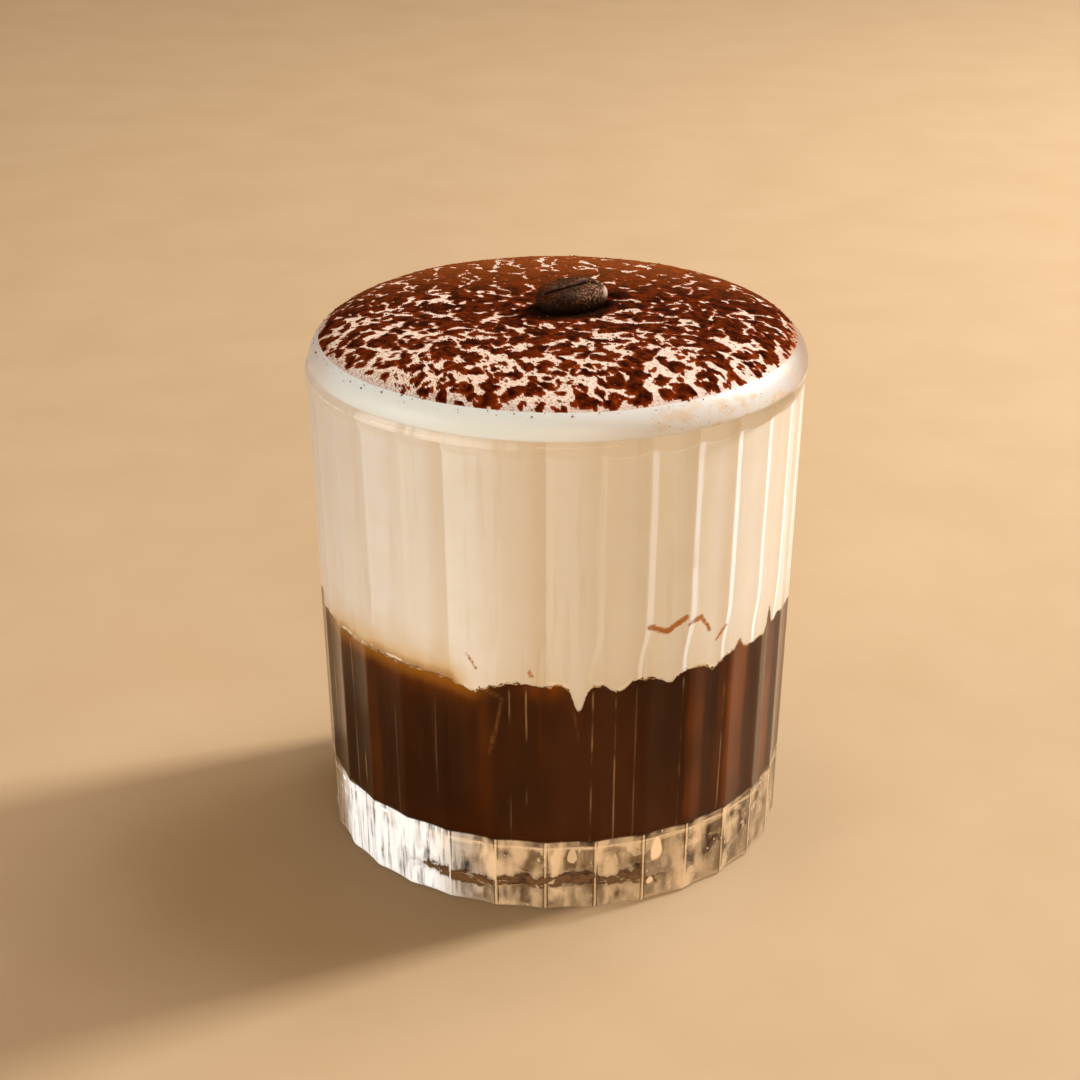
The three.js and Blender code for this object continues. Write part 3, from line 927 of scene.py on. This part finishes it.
def clear_glass():
    """Glass that bends what is seen through it, and lets lamplight and light from nearby surfaces pass.
    Its thick base is wavy, has painted light and shade in places, shown by a rough shader that glows a
    little, and is a little dark to lamplight."""
    look = Look("clear_glass")
    turn, height, radius = look.around()[:3]
    number, share = look.flutes(turn)
    base = height.eased(FLOOR_HEIGHT + 2, FLOOR_HEIGHT - 1) * radius.eased(30, 36)
    tilt = (share - 0.5) * (look.draw(number) - 0.5) * 4.0
    rough = look.noise(3.2, detail=2, tall=2.2) * 1.1
    wave = look.noise(9, detail=1) * 0.2 + base * (rough + tilt)
    glass = look.principled(
        base_color=(0.985, 0.99, 0.985, 1),
        transmission_weight=1,
        ior=1.5,
        roughness=0,
        specular_tint=(0.36, 0.31, 0.24, 1),
        normal=look.bump(wave, 0.4),
    )
    # painted light and shade in the base, and a rough shader that shows it and glows a little
    light, tint = painted_base_light(look, turn, height, number, share)
    painted_glow = look.principled(
        base_color=tint, roughness=0.4, emission_color=tint, emission_strength=0.5
    )
    glass = look.mixed(light * radius.eased(34, 35), glass, painted_glow)
    low = height.eased(FLOOR_HEIGHT + 1, FLOOR_HEIGHT - 1)
    thick = look.blend(low, (0.98, 0.98, 0.975, 1), (0.6, 0.55, 0.48, 1))
    through = look.node("ShaderNodeBsdfTransparent", {"Color": thick})
    path = look.node("ShaderNodeLightPath", output="Is Shadow Ray")
    lit = look.mixed(path, glass, through)
    return look.done(look.mixed(path.other("Is Diffuse Ray"), lit, through))


def coffee_finish():
    """Dark coffee with amber bands and painted thin light lines that stand for highlights, and a
    painted near-black shade low in its round corner; seen flat through the glass's base its underside
    mirrors, as a liquid's does."""
    look = Look("cold_brew")
    turn, height = look.around()[:2]
    depth = look.mark("depth")
    mottle = look.noise(12, tall=3).eased(0.35, 0.7)
    streak = look.noise(0.9, tall=30).eased(0.5, 0.75)
    gold = depth.eased(2.8, 0) * turn.within(-84, -70, -28, -12)
    swayed = turn + look.noise(9, tall=3) * 0.8 - 0.4
    share = look.flutes(swayed)[1]
    # painted highlights: thin light lines by the ridges at the sides and at the listed angles, broken
    # by noise
    painted_gleam = abs(share - 0.5).eased(0.474, 0.494) * abs(turn).eased(66, 76)
    for at, strength in PAINTED_GLEAMS:
        painted_gleam = (abs(swayed - at).eased(0.34, 0.08) * strength).above(painted_gleam)
    broken = look.noise(6, detail=4, tall=1.8).eased(0.42, 0.62)
    painted_gleam = painted_gleam * broken * depth.eased(0.5, 2)
    wisp = (look.mark("wisp") + look.noise(0.8) * 0.5 - 0.25).eased(-0.2, 0.3)
    foot = height - FLOOR_HEIGHT
    fleck = (depth - (look.noise(1.2, detail=4) - 0.5) * 2.5).eased(0.05, -0.05)
    colour = look.coats(
        paint(43, 16, 1),
        (mottle, (64, 28, 2)),
        (streak * 0.3, (88, 38, 8)),
        (look.mark("amber"), (112, 54, 4)),
        (gold * 0.75, (158, 102, 26)),
        (painted_gleam * 0.8, (190, 152, 110)),
        (wisp * 0.4, (170, 110, 60)),
        (foot.eased(7, 2) * 0.35, (74, 30, 4)),
        # painted shade: a near-black band low in the coffee's round corner
        (foot.within(0, 0.2, 1.7, 2.2), (8, 3, 1)),
        (foot.eased(0.2, 0), (120, 70, 34)),
        (fleck * height.eased(30, 34) * 0.8, (214, 176, 120)),
    )
    coffee = look.principled(base_color=colour, roughness=0.5, specular_ior_level=0.05, ior=1.33)
    ripple = look.bump(look.noise(9, detail=1), 0.1)
    inputs = {"Color": (0.82, 0.74, 0.64, 1), "Roughness": 0, "Normal": ripple}
    mirror = look.node("ShaderNodeBsdfGlossy", inputs)
    flat = look.node("ShaderNodeLayerWeight", {"Blend": 0.5}, output="Facing").eased(0.5, 0.58)
    return look.done(look.mixed(flat, coffee, mirror))


def painted_panels(look, turn, height, ivory):
    """The cream with the flutes' light and shade painted on: each flute a panel painted lighter on its
    left and darker on its right, darker at random and towards the front, with a painted light line by
    the ridge, along the flute's end and along the lip on the left, stronger towards the lamp, and a
    painted tan band under the lip; under them the golden haze and the amber cracks. Gives the colour
    and the painted light lines."""
    number, share = look.flutes(turn)
    streaky = look.noise(1.6, tall=18)
    lean = (share - 0.5) * (share - 0.5) * -4 + 1.0
    facing = ((turn - LAMP_TURN) * float(np.radians(1))).cosine()
    # painted light and shade: each flute a little lighter on its left and darker on its right, darker
    # at random and towards the front
    light = share.within(0.02, 0.1, 0.2, 0.6) * (0.15 + look.draw(number) * 0.45)
    dark = share.eased(0.5, 0.95) * (0.1 + look.draw(number + 40) * 0.4)
    dark = dark * (facing.eased(-0.8, 0.4) * 0.6 + 0.4)
    tone = look.draw(number + 20) * 0.25 + turn.within(-24, -4, 12, 32) * 0.3
    # painted highlights: light lines by the ridges, along the flutes' ends and along the lip on the
    # left
    top = lean * -FLUTE_SAG + (FLUTE_TOP - 1.2)
    arc = abs(height - top).eased(0.4, 0.05)
    waver = look.noise(2.5, detail=2, tall=5)
    away = share + height.eased(50, 42) * 0.15 - waver * 0.06 + 0.45
    away = away - away.floor() - 0.5
    line = abs(away).eased(0.07, 0.025) * (height - top).eased(0.1, -0.1)
    strength = facing.eased(0.25, 0.75) * 0.88 + 0.12
    strength = strength * (0.6 + look.draw(number + 80) * 0.4)
    painted_glint = line.above(arc * 0.3) * strength * waver.eased(0.2, 0.45)
    hem = abs(height - 80.2).eased(0.3, 0.1) * turn.within(-84, -70, -30, 4)
    painted_glint = painted_glint.above(hem * waver.eased(0.35, 0.55) * 0.7)
    haze, rise = look.mark("haze"), look.mark("rise")
    crack = look.mark("stain") + (look.noise(0.5, detail=4) - 0.5) * 0.6 - 0.08
    rim = abs(rise - 0.5).eased(0.35, 0.1) * look.noise(3).eased(0.5, 0.58)
    spill = (rise - (look.noise(0.8, detail=4) - 0.5) * 3).eased(0.1, -0.1)
    colour = look.coats(
        ivory,
        (light + streaky.eased(0.55, 0.8) * 0.3, (242, 238, 231)),
        (dark + tone + streaky.eased(0.45, 0.25) * 0.2, (208, 187, 156)),
        # painted shade: a tan band between the flutes' ends and the lip
        ((height - top).eased(-0.1, 0.5) * 0.14, (210, 186, 152)),
        (painted_glint, (255, 255, 255)),
        (haze, (204, 158, 50)),
        (haze.eased(0.62, 1) * 0.75, (150, 96, 22)),
        (crack.eased(-0.25, 0.2), (176, 106, 24)),
        (rim * 0.7, (244, 234, 214)),
        (spill, (100, 52, 16)),
    )
    return colour, painted_glint


def cream_finish():
    """Foam over the rim, ivory cream behind the glass, and cocoa where its field is above 0, with
    painted light and shade on the foam and the cocoa, a painted shadow of the bean, and a faint glow on
    the light lines and the cap's shaded side.
    """
    look = Look("cream_and_cocoa")
    field = look.mark("cocoa")
    turn, height, radius, east, north = look.around()
    fringe = radius.eased(34, 37) * turn.eased(0, -36) * 0.1 + 0.12
    fine = (look.noise(0.35, detail=4, roughness=0.65) - 0.5) * fringe
    edge = (field + fine).eased(-0.02, 0.06)
    deep = height.eased(GLASS_HEIGHT + 0.4, GLASS_HEIGHT - 1.5)
    cap = radius.eased(38.5, 36.5)
    soft = look.noise(6).eased(0.3, 0.8)
    soiled = turn.within(16, 28, 56, 82) * height.eased(88, 84)
    smear = soiled * look.noise(3.84, detail=4, tall=0.625).eased(0.47, 0.6) * 0.5
    foam = look.coats(
        paint(230, 234, 242),
        (soft, (225, 229, 236)),
        # painted light and shade: the foam lighter and bluer at the front left, darker at the back left
        # and towards the right
        (turn.within(-72, -54, -12, 14), (234, 246, 255)),
        (turn.within(-150, -120, -80, -56) * 0.4, (214, 190, 170)),
        (turn.within(4, 30, 110, 150) * 0.3, (190, 188, 188)),
        (turn.within(48, 84, 110, 150) * 0.95, (148, 124, 106)),
        (smear, (216, 178, 128)),
        (soiled * look.noise(0.5, detail=1).eased(0.7, 0.74), (150, 88, 42)),
        # painted light: the cap whiter
        (cap, (255, 254, 250)),
    )
    ivory = look.coats(paint(238, 238, 239), (soft, (234, 232, 229)))
    ivory, painted_glint = painted_panels(look, turn, height, ivory)
    dusted = (field + fine).eased(-0.08, 0.02) * 0.35
    white = look.coats(look.blend(deep, foam, ivory), (dusted, (236, 152, 70)))
    tone = look.noise(1.8, detail=5, roughness=0.65).eased(0.32, 0.66)
    brown = look.coats(
        paint(144, 53, 7),
        (field.eased(0, 0.6) * 0.55 + tone * 0.5, (34, 5, 0)),
        # painted light: the cocoa lighter towards the back, where the lamp grazes it
        (north.eased(0, 34) * 0.5, (176, 94, 40)),
        (field.eased(1.8, 2.6), (46, 18, 8)),
        # painted shadow of the bean
        (look.mark("shade") * 0.9, (10, 3, 1)),
    )
    # painted light that glows: the painted light lines on the right, and a faint glow on the cap's left
    # and back, where it is in shade
    glow = painted_glint * deep * turn.eased(10, 34)
    self_lit_shade = cap * (1 - east.eased(-24, 6)).above(north.eased(4, 24))
    cap_glow_colour = look.blend(self_lit_shade, (0, 0, 0, 1), (0.11, 0.085, 0.06, 1))
    cream = look.principled(
        base_color=white,
        roughness=0.42,
        subsurface_weight=0.15,
        subsurface_radius=(0.004, 0.003, 0.002),
        subsurface_scale=0.5,
        emission_color=look.blend(glow, cap_glow_colour, (0.12, 0.2, 0.28, 1)),
        emission_strength=1,
        normal=look.bump(look.noise(0.8, detail=4), 0.04, 0.5),
    )
    cocoa = look.principled(
        base_color=brown,
        roughness=0.95,
        specular_ior_level=0.02,
        sheen_weight=0.03,
        sheen_roughness=0.4,
        sheen_tint=(1, 0.4, 0.12, 1),
        normal=look.bump(look.noise(0.22, roughness=0.7), 0.12, 0.9),
    )
    return look.done(look.mixed(edge, cream, cocoa))


def grain_finish():
    look = Look("cocoa")
    brown = look.coats(paint(86, 34, 10), (look.noise(1.5).eased(0.35, 0.7), (140, 74, 34)))
    bump = look.bump(look.noise(0.15), 0.05, 0.8)
    grain = look.principled(base_color=brown, roughness=0.95, specular_ior_level=0.15, normal=bump)
    return look.done(grain)


def bean_finish():
    """Dark roast with painted highlights, light specks and a light tip on its right, and painted shade
    below and in the groove, where bits of chaff are left."""
    look = Look("roasted_bean")
    _, height, _, east, _ = look.around()
    # painted highlights: light specks, more to the right, and a light tip at the right end
    painted_specks = look.noise(0.35, detail=4).eased(0.5, 0.66) * (east.eased(2, 6.5) * 0.65 + 0.12)
    tip = east.eased(7.4, 8.3) * height.eased(92.2, 93.4)
    low = GLASS_HEIGHT + DOME_RISE + 0.8
    groove = look.mark("groove")
    chaff = groove.within(0.1, 0.3, 0.5, 0.8) * look.noise(0.9, detail=1).eased(0.64, 0.68)
    brown = look.coats(
        paint(30, 8, 0),
        (look.noise(2.2).eased(0.3, 0.7), (76, 27, 5)),
        (painted_specks, (204, 164, 128)),
        (tip * 0.9, (255, 232, 208)),
        # painted shade: darker below and in the groove
        (height.eased(low + 3, low) * 0.95, (8, 3, 1)),
        (groove.eased(0.12, 0.4), (5, 2, 1)),
        (chaff * east.eased(7, 5) * 0.8, (170, 124, 78)),
    )
    shine = (look.noise(0.5).eased(0.35, 0.65) * 0.3 + 0.24).above(groove.eased(0.05, 0.3))
    bean = look.principled(
        base_color=brown,
        roughness=shine,
        specular_ior_level=0.12,
        specular_tint=(1, 0.68, 0.46, 1),
        normal=look.bump(look.noise(0.4, detail=5, roughness=0.7), 0.2, 1),
    )
    return look.done(bean)


def floor_finish():
    look = Look("pale_floor")
    colour = look.coats(paint(202, 175, 142), (look.noise(30).eased(0.2, 0.8), (197, 169, 135)))
    return look.done(look.principled(base_color=colour, roughness=0.6, specular_ior_level=0.2))


# The studio


def add_floor():
    corners = [(x * FLOOR_HALF, y * FLOOR_HALF, 0) for x, y in ((-1, -1), (1, -1), (1, 1), (-1, 1))]
    mesh = bpy.data.meshes.new("floor")
    mesh.from_pydata(corners, [], [(0, 1, 2, 3)])
    mesh.materials.append(floor_finish())
    floor = linked("floor", mesh)


def add_light(name, place, aim, size, watts, colour):
    """A rectangular area light, placed and aimed in metres."""
    data = bpy.data.lights.new(name, "AREA")
    data.shape = "RECTANGLE"
    data.size, data.size_y = size
    data.energy = watts
    data.color = colour
    light = linked(name, data)
    light.location = place
    light.rotation_euler = (Vector(aim) - Vector(place)).to_track_quat("-Z", "Y").to_euler()


def add_world():
    """An even warm room, lighter overhead than at the horizon."""
    world = bpy.data.worlds.new("studio")
    bpy.context.scene.world = world
    room = Look("studio", world)
    toward = room.node("ShaderNodeTexCoord", output="Generated")
    height = room.node("ShaderNodeSeparateXYZ", {"Vector": toward}, output="Z")
    colour = room.blend(height.eased(0.0, 0.7), (0.74, 0.42, 0.17, 1), (0.85, 0.55, 0.28, 1))
    light = room.node("ShaderNodeBackground", {"Color": colour, "Strength": 0.3})
    room.node("ShaderNodeOutputWorld", {"Surface": light}, output=None)


def add_camera():
    data = bpy.data.cameras.new("camera")
    data.lens = CAMERA_LENS
    data.sensor_width = SENSOR
    data.clip_start = 0.01
    camera = linked("camera", data)
    back = np.array([0, -np.cos(CAMERA_HEIGHT_ANGLE), np.sin(CAMERA_HEIGHT_ANGLE)])
    camera.location = (CAMERA_TARGET + back * CAMERA_DISTANCE) * MM
    camera.rotation_euler = (np.pi / 2 - CAMERA_HEIGHT_ANGLE, 0, 0)
    bpy.context.scene.camera = camera


add_camera()
placed("tumbler", glass_mesh(), clear_glass(), "glass", "glass")
placed("cold_brew", coffee_mesh(), coffee_finish(), "coffee", "coffee")
placed("cream_dome", cream_mesh(), cream_finish(), "cream", "cream")
placed("cocoa_grains", grains_mesh(), grain_finish(), "cream")
placed("roasted_bean", bean_mesh(), bean_finish(), "coffee_bean", "coffee_bean")
add_floor()
for lamp in LAMPS:
    add_light(*lamp)
add_world()

scene = bpy.context.scene
scene.view_settings.view_transform = "Standard"
scene.cycles.caustics_reflective = False
scene.cycles.caustics_refractive = False
